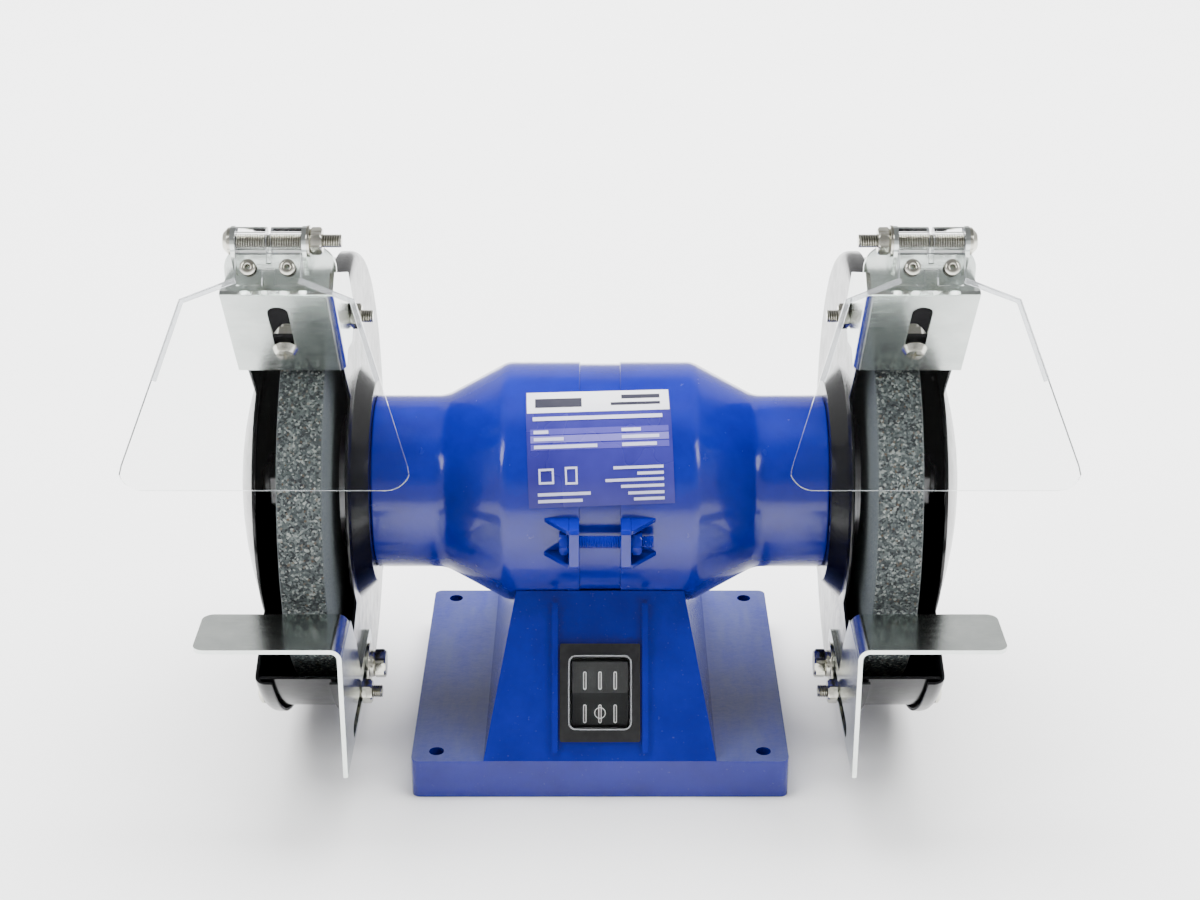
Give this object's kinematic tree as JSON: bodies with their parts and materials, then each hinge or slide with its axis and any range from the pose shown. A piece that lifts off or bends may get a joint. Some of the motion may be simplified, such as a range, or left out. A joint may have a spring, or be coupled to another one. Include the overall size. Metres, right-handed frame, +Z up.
{
  "type": "bench grinder",
  "caption": "Bench grinder: a motor on a tapered pedestal turns a guarded grinding wheel at each end; tool rests, spark guards and clear eye shields adjust.",
  "frame": {"origin": "centre of the base's mounting holes, on the underside that rests on the bench", "axes": "+X along the spindle to the operator's right, +Y away from the operator, +Z up"},
  "size_m": [0.312, 0.1995, 0.2208],
  "materials": {
    "blue_paint": "glossy paint on a casting",
    "black_paint": "glossy paint on pressed sheet",
    "cover_sheet": "matt paint on sheet",
    "rubber": "matt",
    "zinc_plate": "zinc plated sheet, lightly brushed",
    "fastener": "zinc plated, faintly yellow",
    "turned_steel": "turned and ground",
    "laminations": "stacked sheet, varnished",
    "copper": "enamelled wire, bound",
    "abrasive": "bonded grit, speckled",
    "black_plastic": "satin",
    "pale_plastic": "moulded",
    "clear_plastic": "clear, polished",
    "label": "printed foil"
  },
  "bodies": {
    "frame": {"base_pedestal": "blue_paint", "bottom_cover": "cover_sheet", "rubber_feet": "rubber", "bottom_cover_screws": "fastener", "cable_gland": "rubber", "switch_housing": "black_plastic", "switch_boot": "clear_plastic", "run_capacitor": "pale_plastic", "terminal_block": "pale_plastic", "motor_shell_left": "blue_paint", "motor_shell_right": "blue_paint", "saddle_screws": "fastener", "clamp_bolts": "fastener", "clamp_nuts": "fastener", "stator_stack": "laminations", "stator_winding": "copper", "bearing_outer_rings": "turned_steel", "rating_label": "label", "inner_guard_left": "black_paint", "inner_guard_right": "black_paint", "guard_band_left": "black_paint", "guard_band_right": "black_paint", "guard_cover_left": "black_paint", "guard_cover_right": "black_paint", "cover_screws": "fastener", "cover_nuts": "fastener", "guard_mounting_screws": "fastener", "rest_bolts": "fastener", "rest_washers": "fastener", "rest_nuts": "fastener", "bracket_screws": "fastener", "bracket_nuts": "fastener"},
    "rotor": {"spindle": "turned_steel", "rotor_core": "laminations", "cooling_fan": "pale_plastic", "wheel_left": "abrasive", "wheel_right": "abrasive", "inner_flanges": "turned_steel", "outer_flanges": "turned_steel", "spindle_nuts": "turned_steel", "bearing_inner_rings": "turned_steel", "bearing_balls": "turned_steel"},
    "rocker": {"switch_rocker": "black_plastic"},
    "rest_left": {"tool_rest_left": "zinc_plate"},
    "bracket_left": {"shield_bracket_left": "zinc_plate", "hinge_bolt_left": "fastener", "hinge_nut_left": "fastener", "hinge_washers_left": "fastener"},
    "shield_left": {"eye_shield_left": "clear_plastic", "hinge_block_left": "clear_plastic", "eyelets_left": "fastener"},
    "rest_right": {"tool_rest_right": "zinc_plate"},
    "bracket_right": {"shield_bracket_right": "zinc_plate", "hinge_bolt_right": "fastener", "hinge_nut_right": "fastener", "hinge_washers_right": "fastener"},
    "shield_right": {"eye_shield_right": "clear_plastic", "hinge_block_right": "clear_plastic", "eyelets_right": "fastener"}
  },
  "joints": [
    {"name": "rotor_spin", "type": "hinge", "parent": "frame", "child": "rotor", "pos_m": [0, 0, 0.0977], "axis": [1, 0, 0], "continuous": true},
    {"name": "rocker_tilt", "type": "hinge", "parent": "frame", "child": "rocker", "pos_m": [0, -0.05341, 0.03601], "axis": [-1, 0, 0], "range_deg": [0, 14]},
    {"name": "left_rest_slide", "type": "slide", "parent": "frame", "child": "rest_left", "axis": [0, -1, 0], "range_m": [-0.001, 0.007]},
    {"name": "left_bracket_slide", "type": "slide", "parent": "frame", "child": "bracket_left", "axis": [0, 0.5835, -0.8121], "range_m": [0, 0.002]},
    {"name": "left_shield_tilt", "type": "hinge", "parent": "bracket_left", "child": "shield_left", "pos_m": [0, -0.067, 0.2156], "axis": [-1, 0, 0], "range_deg": [-8, 95]},
    {"name": "right_rest_slide", "type": "slide", "parent": "frame", "child": "rest_right", "axis": [0, -1, 0], "range_m": [-0.001, 0.007]},
    {"name": "right_bracket_slide", "type": "slide", "parent": "frame", "child": "bracket_right", "axis": [0, 0.5835, -0.8121], "range_m": [0, 0.002]},
    {"name": "right_shield_tilt", "type": "hinge", "parent": "bracket_right", "child": "shield_right", "pos_m": [0, -0.067, 0.2156], "axis": [-1, 0, 0], "range_deg": [-8, 95]}
  ]
}
